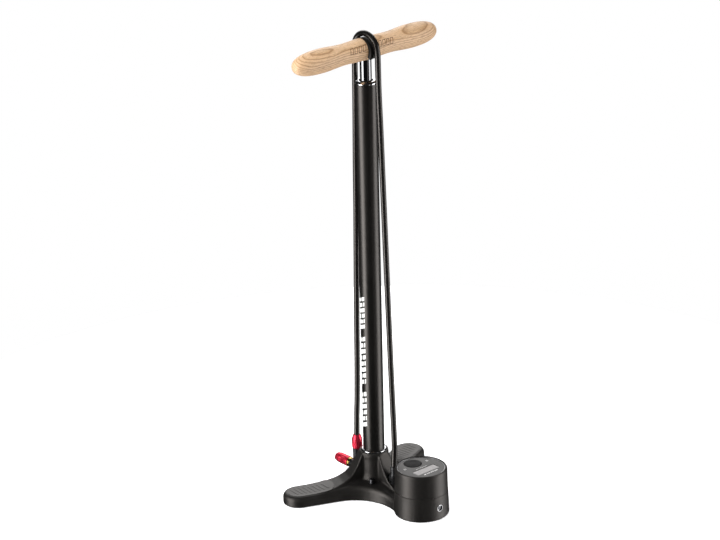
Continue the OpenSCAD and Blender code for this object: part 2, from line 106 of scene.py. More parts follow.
# Hose: 8 mm rubber hose, crimped on the fitting by the hub, up the front, over the handle
# and down the back into the chuck's ferrule. One tube along a given route.
def skin(name, grids, loop_rows=False, ends=False, sharp=32):
    """Mesh over one or more grids of points (rows, columns, 3): a quad between neighbours,
    the columns joined round. loop_rows joins the rows too, and ends closes both end rows."""
    points, faces, first = [], [], 0
    for grid in grids:
        rows, columns = grid.shape[:2]
        index = first + np.arange(rows * columns).reshape(rows, columns)
        here = index if loop_rows else index[:-1]
        above = np.roll(index, -1, 0)[:len(here)]
        quads = np.stack([here, np.roll(here, -1, 1), np.roll(above, -1, 1), above], -1)
        faces += quads.reshape(-1, 4).tolist()
        if ends:
            faces += [index[0][::-1].tolist(), index[-1].tolist()]
        points.append(grid.reshape(-1, 3))
        first += rows * columns
    mesh = bpy.data.meshes.new(name)
    mesh.from_pydata(np.concatenate(points), [], faces)
    return settled(name, mesh, sharp)


def settled(name, mesh, sharp=32):
    """Object for a mesh whose doubled points are merged and whose faces point outwards."""
    work = bmesh.new()
    work.from_mesh(mesh)
    bmesh.ops.remove_doubles(work, verts=work.verts, dist=1e-7)
    bmesh.ops.dissolve_degenerate(work, edges=work.edges, dist=1e-8)
    bmesh.ops.recalc_face_normals(work, faces=work.faces)
    work.to_mesh(mesh)
    work.free()
    mesh.shade_smooth()
    mesh.set_sharp_from_angle(angle=math.radians(sharp))
    piece = bpy.data.objects.new(name, mesh)
    bpy.context.scene.collection.objects.link(piece)
    return piece


def shader(name, **sockets):
    """New material with constant values on its Principled BSDF, and its nodes and links."""
    material = bpy.data.materials.new(name)
    material.use_nodes = True
    bsdf = material.node_tree.nodes["Principled BSDF"]
    for socket, value in sockets.items():
        bsdf.inputs[socket.replace("_", " ")].default_value = value
    return material, material.node_tree, bsdf


def add(tree, kind, links=None, values=None, **settings):
    """New node in a tree. links feeds its inputs, values sets their numbers."""
    node = tree.nodes.new(kind)
    for key, value in settings.items():
        setattr(node, key, value)
    for key, value in (values or {}).items():
        node.inputs[key].default_value = value
    for key, source in (links or {}).items():
        tree.links.new(source, node.inputs[key])
    return node


def shades(tree, source, stops):
    """Colour ramp over a mask: stops are (place, colour)."""
    ramp = add(tree, "ShaderNodeValToRGB", {"Fac": source})
    while len(ramp.color_ramp.elements) < len(stops):
        ramp.color_ramp.elements.new(0.5)
    for element, (place, colour) in zip(ramp.color_ramp.elements, stops):
        element.position = place
        element.color = (*colour, 1.0)
    return ramp.outputs["Color"]


def ranged(tree, source, low, high):
    """Moves a mask from 0..1 to low..high."""
    node = add(tree, "ShaderNodeMapRange", {"Value": source}, {"To Min": low, "To Max": high})
    return node.outputs["Result"]


def bumped(tree, bsdf, height, distance, strength=1.0):
    """Feeds a height into the shader's normal, distance being its full depth in metres."""
    bump = add(tree, "ShaderNodeBump", {"Height": height},
               {"Strength": strength, "Distance": distance})
    tree.links.new(bump.outputs["Normal"], bsdf.inputs["Normal"])


def new_group(name, inputs, outputs):
    """Shader node group with named number inputs and outputs."""
    tree = bpy.data.node_groups.new(name, "ShaderNodeTree")
    for label, value in inputs.items():
        socket = tree.interface.new_socket(label, in_out="INPUT", socket_type="NodeSocketFloat")
        socket.default_value = value
    for label in outputs:
        tree.interface.new_socket(label, in_out="OUTPUT", socket_type="NodeSocketFloat")
    return tree, tree.nodes.new("NodeGroupInput"), tree.nodes.new("NodeGroupOutput")


def use(tree, group, **values):
    """Places a node group in a material with its own values."""
    node = add(tree, "ShaderNodeGroup", node_tree=group)
    for label, value in values.items():
        node.inputs[label.replace("_", " ")].default_value = value
    return node.outputs


def inverse(tree, size):
    """One divided by a size, which is a texture's scale."""
    return add(tree, "ShaderNodeMath", {1: size}, {0: 1.0}, operation="DIVIDE").outputs[0]


# Handling marks: slow, cloudy change over a surface, with fine specks of dust in it.
handling, hand_in, hand_out = new_group(
    "handling", {"Cloud size": 0.03, "Speck size": 0.0008}, ["Cloud", "Speck"])
hand_place = add(handling, "ShaderNodeTexCoord").outputs["Object"]
cloud_scale = inverse(handling, hand_in.outputs["Cloud size"])
speck_scale = inverse(handling, hand_in.outputs["Speck size"])
hand_cloud = add(handling, "ShaderNodeTexNoise", {"Vector": hand_place, "Scale": cloud_scale},
                 {"Detail": 4.0, "Roughness": 0.6})
hand_speck = add(handling, "ShaderNodeTexNoise", {"Vector": hand_place, "Scale": speck_scale},
                 {"Detail": 2.0})
hand_sharp = add(handling, "ShaderNodeMapRange", {"Value": hand_speck.outputs["Fac"]},
                 {"From Min": 0.62, "From Max": 0.74})
handling.links.new(hand_cloud.outputs["Fac"], hand_out.inputs["Cloud"])
handling.links.new(hand_sharp.outputs["Result"], hand_out.inputs["Speck"])


def clouded(name, rough, dark, light, places, cloud, speck=0.0008, **sockets):
    """Material whose colour goes from dark to light with the handling marks' clouds, at two
    places of the mask, and whose roughness runs over a range with them. Also gives its nodes,
    its shader and the marks."""
    material, tree, bsdf = shader(name, **sockets)
    marks = use(tree, handling, Cloud_size=cloud, Speck_size=speck)
    tree.links.new(shades(tree, marks["Cloud"], [(places[0], dark), (places[1], light)]),
                   bsdf.inputs["Base Color"])
    tree.links.new(ranged(tree, marks["Cloud"], *rough), bsdf.inputs["Roughness"])
    return material, tree, bsdf, marks


hose_r = 4.0 * mm
hose_route = np.array([
    [-42, 50], [-42.5, 62], [-43.5, 80], [-43, 105], [-41.5, 140], [-39.5, 190],
    [-37.5, 245], [-35.5, 305], [-33.5, 365], [-31.5, 425], [-29.5, 485], [-27.5, 545],
    [-25.5, 595], [-25, 628], [-24.5, 648], [-21.5, 660.5], [-13, 669], [-1.5, 672],
    [10, 669], [18.5, 660.5], [21.5, 648], [22, 628], [22.5, 595], [23.5, 545], [25, 485],
    [26, 425], [27.5, 365], [29, 305], [30.5, 245], [31.5, 190], [33, 140], [35, 104],
    [36, 73.8]]) * mm


def smooth_route(stops, steps):
    """Catmull-Rom curve through the stops, steps to a span, as an array of points."""
    before = np.vstack([2 * stops[0] - stops[1], stops[:-1]])[:-1]
    start, end = stops[:-1], stops[1:]
    after = np.vstack([stops[2:], 2 * stops[-1] - stops[-2]])
    t = np.arange(steps)[None, :, None] / steps
    a, b, c, d = (x[:, None, :] for x in (before, start, end, after))
    curve = 0.5 * (2 * b + (c - a) * t + (2 * a - 5 * b + 4 * c - d) * t ** 2
                   + (3 * b - a - 3 * c + d) * t ** 3)
    return np.vstack([curve.reshape(-1, stops.shape[1]), stops[-1:]])


def tube_grid(centres, radius, sides):
    """Rings of points about a line that lies in a plane of constant x."""
    along = np.gradient(centres, axis=0)
    along[0], along[-1] = [0, 0, 1], [0, 0, -1]
    along /= np.linalg.norm(along, axis=1)[:, None]
    aside = np.cross(along, [1.0, 0, 0])
    turn = np.linspace(0, 2 * math.pi, sides, endpoint=False)[None, :, None]
    ring = np.cos(turn) * np.array([1.0, 0, 0]) + np.sin(turn) * aside[:, None, :]
    return centres[:, None, :] + radius * ring


hose_flat = smooth_route(hose_route, 10)
hose_line = np.column_stack([np.zeros(len(hose_flat)), hose_flat[:, 0] + axis_y, hose_flat[:, 1]])
hose = skin("hose_tube", [tube_grid(hose_line, hose_r, 32)], ends=True)

warm_gloss = (1.0, 0.92, 0.86, 1.0)
hose_rubber, tree, bsdf, marks = clouded("hose_rubber", (0.20, 0.32), (0.0030, 0.0030, 0.0029),
                                         (0.0060, 0.0058, 0.0055), (0.3, 0.75), 0.05, 0.0006,
                                         Specular_IOR_Level=0.5, Specular_Tint=warm_gloss)
bumped(tree, bsdf, marks["Speck"], 0.00003)
hose.data.materials.append(hose_rubber)
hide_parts("hose")


# Outlines that are turned round an axis, for the metal and plastic parts that follow.
def eased(corners, steps=5):
    """Outline through corners (radius, height, reach): each corner is cut back by reach on
    both sides and bridged by a parabola that aims at the corner."""
    spots = np.array([c[:2] for c in corners], float)
    line = []
    for i, (_, _, reach) in enumerate(corners):
        here = spots[i]
        if not reach:
            line.append(here)
            continue
        back_to, on_to = spots[i - 1] - here, spots[(i + 1) % len(spots)] - here
        start = here + back_to / np.linalg.norm(back_to) * reach
        end = here + on_to / np.linalg.norm(on_to) * reach
        for t in np.linspace(0, 1, steps):
            line.append((1 - t) ** 2 * start + 2 * t * (1 - t) * here + t ** 2 * end)
    return np.array(line) * mm


def spun(outline, centre=(0.0, 0.0), steps=128, lying=False, shape=None):
    """Points of a surface of revolution: radius and height of each outline point go round the
    axis. lying turns the axis to +Y, centre then being its x and z; shape(radius, turn,
    height) may change the radius as it goes round."""
    turn = np.linspace(0, 2 * math.pi, steps, endpoint=False)[None, :]
    radius, height = outline[:, :1], outline[:, 1:] + 0 * turn
    reach = shape(radius, turn, height) if shape else radius + 0 * turn
    a = centre[0] + reach * np.cos(turn)
    b = centre[1] + reach * np.sin(turn)
    return np.stack([a, height, b] if lying else [a, b, height], -1)


def turned(name, outline, sharp=32, **where):
    """Solid of revolution: closed at its poles, or a ring where the outline stays off the
    axis."""
    ring = bool(outline[:, 0].min() > 1e-9)
    return skin(name, [spun(outline, **where)], loop_rows=ring, sharp=sharp)


def paint(pieces, material, body, slot, *nodes):
    """Gives pieces a material and a body, and hides the CAD nodes that they replace."""
    for piece in pieces:
        piece.data.materials.clear()
        piece.data.materials.append(material)
        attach(piece, body)
    if nodes:
        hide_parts(*nodes)


def dress(material, *nodes):
    """Gives CAD nodes that stay as they are a material."""
    for node in nodes:
        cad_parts[node].data.materials.clear()
        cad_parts[node].data.materials.append(material)


on_rod = (0.0, axis_y)

# Turning marks: fine rings that a lathe leaves, told by distance from a standing axis and
# by height, so they run round the part.
lathe, lathe_in, lathe_out = new_group("lathe_marks", {"Fineness": 4000.0}, ["Ring"])
lathe_place = add(lathe, "ShaderNodeTexCoord").outputs["Object"]
lathe_split = add(lathe, "ShaderNodeSeparateXYZ", {0: lathe_place})
lathe_line = add(lathe, "ShaderNodeMath", {0: lathe_split.outputs["Z"],
                                           1: lathe_in.outputs["Fineness"]},
                 operation="MULTIPLY").outputs[0]
lathe_noise = add(lathe, "ShaderNodeTexNoise", {"W": lathe_line}, {"Scale": 1.0, "Detail": 3.0},
                  noise_dimensions="1D")
lathe.links.new(lathe_noise.outputs["Fac"], lathe_out.inputs["Ring"])

polished, tree, bsdf = shader("polished_aluminium", Metallic=1.0,
                              Base_Color=(0.52, 0.52, 0.53, 1.0))
marks = use(tree, handling, Cloud_size=0.01)
rings = use(tree, lathe, Fineness=9000.0)
tree.links.new(ranged(tree, marks["Cloud"], 0.08, 0.24), bsdf.inputs["Roughness"])
bumped(tree, bsdf, rings["Ring"], 0.000012)


# Foot: one aluminium casting with two pedals, a hub with a collar for the barrel and a cup
# for the gauge, powder coated in matt black. Made from the CAD solid's skin: remeshed, its
# upper edges rounded over, then relaxed as a casting's corners are.
voxel = 1.05 * mm
edge_r = 6.4 * mm
pedal_reach, pedal_r, pedal_sweep = 112 * mm, 22.6 * mm, math.radians(22.5)
gauge_reach, cup_r, waist_r = 98 * mm, 38.5 * mm, 36.5 * mm
front_fillet, rear_fillet = 62 * mm, 75 * mm
seam_z, rim_r, cup_foot = 35.5 * mm, 36.5 * mm, 0.8 * mm
hub_keep, cup_keep, relax_rounds, wall_reach = 30 * mm, 0.5 * mm, 9, 1.1 * mm
gauge_y = axis_y - gauge_reach


def arc(centre, radius, start, end, steps=24):
    """Points along an arc, angles in radians."""
    turn = np.linspace(start, end, steps)
    return np.column_stack([centre[0] + radius * np.cos(turn), centre[1] + radius * np.sin(turn)])


def foot_outline():
    """Half of the foot seen from above, about the rod: gauge side, front hollow, pedal, rear
    hollow. Arcs that touch each other, mirrored by the caller."""
    out = np.array([math.cos(pedal_sweep), math.sin(pedal_sweep)])
    edge = np.array([math.sin(pedal_sweep), -math.cos(pedal_sweep)])
    cup = np.array([0.0, -gauge_reach])
    start = edge * (pedal_r + front_fillet) - cup
    along, reach = start @ out, waist_r + front_fillet
    front = start + cup + out * (-along + math.sqrt(along ** 2 - start @ start + reach ** 2))
    rear = np.array([0.0, (pedal_r + rear_fillet) / math.cos(pedal_sweep)])
    to_cup = math.atan2(cup[1] - front[1], cup[0] - front[0]) % (2 * math.pi)
    return np.vstack([
        arc(front, front_fillet, to_cup, math.pi / 2 + pedal_sweep),
        arc(out * pedal_reach, pedal_r, pedal_sweep - math.pi / 2, pedal_sweep + math.pi / 2),
        arc(rear, rear_fillet, pedal_sweep - math.pi / 2, -math.pi / 2)])


def distance_to(line, spots):
    """Shortest distance from each spot to an open line of straight stretches."""
    best = np.full(len(spots), np.inf)
    for a, b in zip(line[:-1], line[1:]):
        span = b - a
        share = np.clip(((spots - a) @ span) / max(span @ span, 1e-18), 0, 1)
        best = np.minimum(best, np.linalg.norm(spots - a - share[:, None] * span, axis=1))
    return best


def points_of(mesh):
    """The mesh's points as an array."""
    points = np.empty(len(mesh.vertices) * 3)
    mesh.vertices.foreach_get("co", points)
    return points.reshape(-1, 3)


def remeshed(piece, size):
    """Replaces the piece's mesh by one of even quads of about that size."""
    step = piece.modifiers.new("even", "REMESH")
    step.mode = "VOXEL"
    step.voxel_size = size
    shape = piece.evaluated_get(bpy.context.evaluated_depsgraph_get())
    mesh = bpy.data.meshes.new_from_object(shape)
    piece.modifiers.clear()
    piece.data = mesh


def relaxed(mesh, rounds):
    """Taubin smoothing: each point moves towards the mean of its neighbours, then a little
    more the other way, so the form doesn't shrink."""
    ends = np.empty(len(mesh.edges) * 2, int)
    mesh.edges.foreach_get("vertices", ends)
    a, b = ends[::2], ends[1::2]
    points = points_of(mesh)
    count = np.bincount(np.concatenate([a, b]), minlength=len(points))[:, None]
    for _ in range(rounds):
        for pull in (0.55, -0.57):
            mean = np.column_stack([
                np.bincount(a, points[b, k], len(points)) + np.bincount(b, points[a, k], len(points))
                for k in range(3)]) / count
            points = points + pull * (mean - points)
    mesh.vertices.foreach_set("co", points.ravel())


def deck_height(reach):
    """Height of the casting's top at a distance from the rod, from the hub out to the pads."""
    return np.interp(reach, np.array([0, 36, 60, 80, 96, 150]) * mm,
                     np.array([23, 22.5, 18.8, 16.6, 16, 16]) * mm)


cast = bpy.data.objects.new("foot_casting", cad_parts["base_casting"].data.copy())
bpy.context.scene.collection.objects.link(cast)
work = bmesh.new()
work.from_mesh(cast.data)
bmesh.ops.remove_doubles(work, verts=work.verts, dist=1e-6)
work.to_mesh(cast.data)
work.free()
remeshed(cast, voxel)
points = points_of(cast.data)
flat = np.column_stack([np.abs(points[:, 0]), points[:, 1] - axis_y])
reach = np.linalg.norm(flat, axis=1)
inside = distance_to(foot_outline(), flat)
drop = edge_r - np.sqrt(np.maximum(edge_r ** 2 - np.maximum(edge_r - inside, 0) ** 2, 0))
from_cup = np.linalg.norm(points[:, :2] - [0, gauge_y], axis=1)
may_drop = (reach > hub_keep) & (from_cup > cup_r + cup_keep)
lowered = np.minimum(points[:, 2], deck_height(reach) + 0.3 * mm - drop)
points[:, 2] = np.where(may_drop & (inside < edge_r), lowered, points[:, 2])
cast.data.vertices.foreach_set("co", points.ravel())
remeshed(cast, voxel)
relaxed(cast.data, relax_rounds)
# the cup's wall is machined round after casting
points = points_of(cast.data)
offset = points[:, :2] - [0, gauge_y]
from_cup = np.linalg.norm(offset, axis=1)
height = points[:, 2]
wall = cup_r + (rim_r + 0.8 * mm - cup_r) * (height - cup_foot) / (seam_z - cup_foot)
near = (np.abs(from_cup - wall) < wall_reach) & (height > 3 * mm) & (height < seam_z - mm)
outward = (points[:, 1] - axis_y < -70 * mm) | (height > 25 * mm)
scale = np.where(near & outward, wall / np.maximum(from_cup, 1e-9), 1.0)
points[:, :2] = [0, gauge_y] + offset * scale[:, None]
cast.data.vertices.foreach_set("co", points.ravel())
cast.data.shade_smooth()

# Cast grain: the fine pebbled skin of powder coat or a moulded part.
grain, grain_in, grain_out = new_group("pebble", {"Size": 0.0007}, ["Height"])
grain_scale = inverse(grain, grain_in.outputs["Size"])
grain_place = add(grain, "ShaderNodeTexCoord").outputs["Object"]
grain_cells = add(grain, "ShaderNodeTexVoronoi", {"Vector": grain_place, "Scale": grain_scale},
                  feature="SMOOTH_F1")
grain_noise = add(grain, "ShaderNodeTexNoise", {"Vector": grain_place, "Scale": grain_scale},
                  {"Detail": 3.0})
grain_sum = add(grain, "ShaderNodeMath", {0: grain_cells.outputs["Distance"],
                                          1: grain_noise.outputs["Fac"]}, operation="ADD")
grain.links.new(grain_sum.outputs[0], grain_out.inputs["Height"])


def pebbled(name, dark, light, rough, size, depth):
    """Matt black skin: pebble bump, with cloudy colour and gloss."""
    material, tree, bsdf, _ = clouded(name, rough, dark, light, (0.25, 0.8), 0.035, 0.0005,
                                      Specular_IOR_Level=0.5, Specular_Tint=warm_gloss)
    pebble = use(tree, grain, Size=size)
    bumped(tree, bsdf, pebble["Height"], depth)
    return material


cast_black = pebbled("powder_coat", (0.0050, 0.0048, 0.0045), (0.0100, 0.0096, 0.0090),
                     (0.42, 0.54), 0.0006, 0.00005)
paint([cast], cast_black, "base", "cast_black", "base_casting")

# Cup lip: the machined band at the cup's mouth, chamfered at the seam.
lip = turned("cup_lip", np.array([(35.55, 26), (37.43, 26), (37.56, 29), (37.45, 34.3),
                                  (36.6, 35.4), (35.55, 35.4)]) * mm,
             centre=(0.0, gauge_y), steps=192)
paint([lip], cast_black, "base", "cast_black")


# Pedal pads: the flat top of each pedal, raised half a millimetre and cast with slanted
# grip bars for the shoe. Slabs that sit on the casting's top.
pad_start, pad_inset, pad_rise, pad_round = 62 * mm, 5.8 * mm, 0.55 * mm, 0.6
pad_sunk, grip_sunk, grip_crown = 1.6 * mm, 1.0 * mm, 0.55 * mm
grip_count, grip_width, grip_half, grip_lean = 8, 0.042, 0.66, 0.07


def slab(top, sunk):
    """Closed slab under a grid of top points (rows, columns, 3), reaching down by sunk."""
    under = top - np.array([0, 0, sunk])
    return np.concatenate([top, under[:, ::-1]], axis=1)


def pad_point(along, across, side, rise):
    """Place on a pedal: along is 0 to 1 from the hub end to the round tip, across is -1 to 1;
    the half-width follows the pedal's round end, and a round end at the hub side too."""
    half, tip = pedal_r - pad_inset, pedal_reach + pedal_r - pad_inset
    reach, hub_end = pad_start + along * (tip - pad_start), half * pad_round
    from_tip = np.clip(reach - pedal_reach, 0, half)
    from_hub = np.clip(pad_start + hub_end - reach, 0, hub_end)
    width = np.sqrt(np.maximum(half ** 2 - from_tip ** 2, 0))
    width = width * np.sqrt(np.maximum(1 - (from_hub / hub_end) ** 2, 0))
    aside = across * width
    x = side * (reach * math.cos(pedal_sweep) - aside * math.sin(pedal_sweep))
    y = axis_y + reach * math.sin(pedal_sweep) + aside * math.cos(pedal_sweep)
    distance = np.hypot(x, y - axis_y)
    height = np.interp(distance, np.array([50, 62, 78, 94, 150]) * mm,
                       np.array([24.2, 20.3, 17.3, 16.0, 16.0]) * mm) + rise
    return np.stack([x, y, height], -1)


pad_u = (1 - np.cos(np.linspace(0, math.pi, 61))) / 2
pad_v = np.sin(np.linspace(-math.pi / 2, math.pi / 2, 25))
pad_grid = np.meshgrid(pad_u, pad_v, indexing="ij")
pad_slabs = [slab(pad_point(*pad_grid, side, pad_rise), pad_sunk) for side in (-1, 1)]
pads = skin("pedal_pads", pad_slabs, ends=True)
grip_slabs = []
for side in (-1, 1):
    for place in np.linspace(0.16, 0.84, grip_count):
        u, v = np.meshgrid(np.linspace(0, grip_width, 3), np.linspace(-grip_half, grip_half, 14),
                           indexing="ij")
        ends = (1 - (v / grip_half) ** 8) * (1 - (2 * u / grip_width - 1) ** 8 * 0.5)
        top = pad_point(place + u + grip_lean * v, v, side, pad_rise + grip_crown * ends)
        grip_slabs.append(slab(top, grip_sunk))
grips = skin("pedal_grips", grip_slabs, ends=True)
pad_black = pebbled("pad_coat", (0.0080, 0.0077, 0.0073), (0.0140, 0.0135, 0.0128),
                    (0.38, 0.46), 0.0005, 0.00003)
paint([pads, grips], pad_black, "base", "cast_black")

# Feet: rubber discs pressed into the casting's underside, and a ring under the cup.
rubber, tree, bsdf, _ = clouded("moulded_rubber", (0.6, 0.85), (0.0050, 0.0050, 0.0048),
                                (0.0110, 0.0105, 0.0100), (0.3, 0.8), 0.012, 0.0004,
                                Specular_IOR_Level=0.35)
bumped(tree, bsdf, use(tree, grain, Size=0.0004)["Height"], 0.00003)
dress(rubber, "rubber_feet", "barrel_seal", "gauge_seal", "chuck_seal", "valve_poppet",
      "piston_seal", "rod_bumper")


# Deck plug: small blackened steel vent plug, screwed into the deck beside the hub.
blackened, tree, bsdf, _ = clouded("blackened_steel", (0.3, 0.5), (0.05, 0.05, 0.053),
                                   (0.10, 0.10, 0.105), (0.3, 0.8), 0.004, Metallic=1.0)
bumped(tree, bsdf, use(tree, lathe, Fineness=6000.0)["Ring"], 0.00002)
plug_turn, plug_reach = math.radians(222), 28 * mm
plug_at = (plug_reach * math.cos(plug_turn), axis_y + plug_reach * math.sin(plug_turn))
plug_line = eased([(0, 14, 0), (2.5, 14, 0.3), (2.5, 23, 0), (4.6, 23, 0.2), (4.6, 25, 0.4),
                   (4.2, 25.2, 0.1), (4.1, 29.5, 0.8), (1.5, 29.5, 0.1), (1.4, 28.4, 0.2),
                   (0, 28.4, 0)])
plug = turned("deck_plug_turned", plug_line, centre=plug_at, steps=48)
paint([plug], blackened, "base", "dark_steel", "deck_plug")
dress(blackened, "handle_bolt")


# Barrel: drawn aluminium tube in satin black paint, standing in the hub's socket.
barrel_r, bore_r, barrel_low, barrel_high = 15, 13.5, 16, 603
satin, tree, bsdf, _ = clouded("satin_paint", (0.33, 0.40), (0.0028, 0.0028, 0.0027),
                               (0.0048, 0.0046, 0.0043), (0.3, 0.8), 0.06, 0.0004,
                               Specular_IOR_Level=0.5, Specular_Tint=warm_gloss)
peel = use(tree, grain, Size=0.0012)
bumped(tree, bsdf, peel["Height"], 0.000008)
barrel = turned("barrel_tube", eased([
    (bore_r, barrel_low, 0.3), (barrel_r, barrel_low, 0.4), (barrel_r, barrel_high, 0.3),
    (bore_r, barrel_high, 0.3)]), centre=on_rod, steps=192)
paint([barrel], satin, "base", "barrel_black", "barrel")


# Barrel marking: a screen-printed row of slanted white bars up the barrel's left side.
print_white, tree, bsdf, _ = clouded("screen_print", (0.35, 0.5), (0.62, 0.61, 0.59),
                                     (0.80, 0.80, 0.79), (0.25, 0.6), 0.006, 0.0005,
                                     Specular_IOR_Level=0.4)
print_half, print_slant, print_middle = 6.6, 2.6, math.radians(167.5)
print_thickness, bar_share = 0.03, 0.68
bar_groups = [(101, 156, 6), (166, 239, 8), (249, 298, 6)]


def print_bar(low, high, start, end):
    """Thin slab on the barrel: low to high up the barrel, start to end round it, both in
    millimetres from the bar's middle; it leans as it goes round."""
    v, u = np.meshgrid(np.linspace(start, end, 12), np.linspace(low, high, 4))
    turn = print_middle + v / barrel_r
    height = u + print_slant * v / print_half
    layers = [np.stack([r * np.cos(turn) * mm, axis_y + r * np.sin(turn) * mm, height * mm], -1)
              for r in (barrel_r + print_thickness, barrel_r - print_thickness)]
    return np.concatenate([layers[0], layers[1][:, ::-1]], axis=1)


bars = []
for group_low, group_high, count in bar_groups:
    pitch = (group_high - group_low) / count
    for i in range(count):
        low = group_low + i * pitch
        split = (i * 2 + count) % 3
        spans = [(-print_half, print_half)]
        if split == 1:
            spans = [(-print_half, -1.2), (1.2, print_half)]
        if split == 2:
            spans = [(-print_half, 2.6), (4.4, print_half)]
        bars += [print_bar(low, low + pitch * bar_share, *span) for span in spans]
barrel_print = skin("barrel_bars", bars, ends=True)
paint([barrel_print], print_white, "base", "barrel_black")


# Bright rings: one closes the gap between the hub and the barrel, one caps the barrel's top
# round the wiper. Turned aluminium, polished.
hub_ring = turned("hub_ring", eased([
    (15, 61, 0.2), (18, 61, 0.3), (18, 64.8, 0.5), (16.6, 65.6, 0.3), (15, 65.6, 0.2)]),
    centre=on_rod, steps=192)
top_ring = turned("top_ring", eased([
    (10, 603, 0.2), (14.8, 603, 0.3), (14.8, 604.6, 0.5), (12.6, 607, 0.5), (10, 607, 0.3)]),
    centre=on_rod, steps=192)
paint([hub_ring], polished, "base", "polished_metal", "barrel_ring")
paint([top_ring], polished, "base", "polished_metal", "cap_ring")


# Barrel cap, wiper and bush: the plug in the barrel's top, the rubber lip that cleans the rod
# and the long plastic bush that guides it.
anodised, tree, bsdf, _ = clouded("black_anodised", (0.25, 0.38), (0.014, 0.014, 0.015),
                                  (0.030, 0.030, 0.031), (0.3, 0.8), 0.005, Metallic=0.6)
bumped(tree, bsdf, use(tree, lathe, Fineness=7000.0)["Ring"], 0.00001)
moulded, tree, bsdf, _ = clouded("moulded_plastic", (0.4, 0.55), (0.0045, 0.0043, 0.0040),
                                 (0.0090, 0.0086, 0.0080), (0.3, 0.8), 0.01, 0.0005,
                                 Specular_IOR_Level=0.4, Specular_Tint=warm_gloss)
bumped(tree, bsdf, use(tree, grain, Size=0.0005)["Height"], 0.00003)
cap = turned("barrel_cap_turned", eased([
    (10, 587, 0.2), (13.5, 587, 0.5), (13.5, 603, 0.2), (10, 603, 0.2)]), centre=on_rod)
wiper = turned("wiper_lip", eased([
    (8.05, 587, 0.2), (10, 587, 0.2), (10, 606.4, 0.3), (8.9, 607.6, 0.3), (8.05, 607.6, 0.1)]),
    centre=on_rod)
paint([cap], anodised, "base", "black_anodised", "barrel_cap")
paint([wiper], rubber, "base", "black_rubber", "rod_wiper")
dress(moulded, "rod_bush", "piston")
bearing, tree, bsdf, _ = clouded("bearing_plastic", (0.4, 0.55), (0.58, 0.55, 0.48),
                                 (0.72, 0.70, 0.64), (0.3, 0.8), 0.004, Specular_IOR_Level=0.4)
bumped(tree, bsdf, use(tree, lathe, Fineness=5000.0)["Ring"], 0.00003)
dress(bearing, "piston_guide")


# Piston rod: steel tube, hard chromed, from the piston up into the handle, with its plugs,
# screws and the check valve's spring in plain steel.
chrome, tree, bsdf = shader("hard_chrome", Metallic=1.0, Base_Color=(0.18, 0.18, 0.185, 1.0))
marks = use(tree, handling, Cloud_size=0.03)
tree.links.new(ranged(tree, marks["Cloud"], 0.03, 0.12), bsdf.inputs["Roughness"])
bumped(tree, bsdf, use(tree, lathe, Fineness=12000.0)["Ring"], 0.000003)
rod = turned("rod_tube", eased([
    (6.5, 44.5, 0.3), (8, 44.5, 0.4), (8, 653, 0.3), (6.5, 653, 0.3)]), centre=on_rod)
paint([rod], chrome, "plunger", "chrome", "piston_rod")
plain_steel, tree, bsdf, _ = clouded("plain_steel", (0.22, 0.4), (0.38, 0.38, 0.39),
                                     (0.58, 0.58, 0.59), (0.3, 0.8), 0.003, Metallic=1.0)
bumped(tree, bsdf, use(tree, lathe, Fineness=6000.0)["Ring"], 0.00002)
dress(plain_steel, "rod_foot", "rod_plug", "piston_screw", "housing_screws", "handle_washer",
      "gauge_battery")


# Valve spring: coil of steel wire that stands on the chamber's floor and holds the check
# valve's disc up against its seat.
coil_r, wire_r, coil_turns = 3.6, 0.4, 4
coil_foot, coil_top, valve_travel = 4.0, 10.25, 1.5
coil_share = np.linspace(0, 1, 160)[:, None]
coil_turn = 2 * math.pi * coil_turns * coil_share
wire_turn = np.linspace(0, 2 * math.pi, 12, endpoint=False)[None, :]
coil_reach = coil_r + wire_r * np.cos(wire_turn) + 0 * coil_turn
coil_height = (coil_foot + wire_r + (coil_top - coil_foot - 2 * wire_r) * coil_share
               + wire_r * np.sin(wire_turn))
coil_grid = np.stack([coil_reach * np.cos(coil_turn), axis_y / mm + coil_reach * np.sin(coil_turn),
                      coil_height], -1) * mm
spring = skin("valve_coil", [coil_grid], ends=True)
paint([spring], plain_steel, "base", "screw_steel", "valve_spring")
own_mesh(spring)


# Handle: one turned bar of pale ash, oiled, with a swell for each hand, blunt ends and a
# groove across its middle that the hose lies in.
handle_z, half_length = 651, 125
middle_r, narrow_r, grip_r = 15.6, 14.4, 16.4
narrow_x, grip_x, end_power = 40, 78, 2.6
groove_half, groove_edge, groove_floor = 7.5, 0.6, 12.5
arch_y, arch_z = -1.5, -2.0


def handle_radius(x):
    """Radius at a distance from the middle: cosine waves from middle to waist to grip, then a
    superellipse to the tip."""
    x = np.abs(x)
    to_waist = middle_r + (narrow_r - middle_r) * (1 - np.cos(np.pi * x / narrow_x)) / 2
    to_grip = narrow_r + (grip_r - narrow_r) * (
        1 - np.cos(np.pi * (x - narrow_x) / (grip_x - narrow_x))) / 2
    tip = 1 - np.clip((x - grip_x) / (half_length - grip_x), 0, 1) ** end_power
    tip = grip_r * np.maximum(tip, 0) ** (1 / end_power)
    return np.where(x < narrow_x, to_waist, np.where(x < grip_x, to_grip, tip))


def on_handle(x, turn, rise=0.0):
    """Place on the handle: x along it, turn round it from the front (-Y) towards the top."""
    radius = handle_radius(x) + rise
    return np.stack([x + 0 * turn, axis_y / mm - radius * np.cos(turn),
                     handle_z + radius * np.sin(turn)], -1) * mm


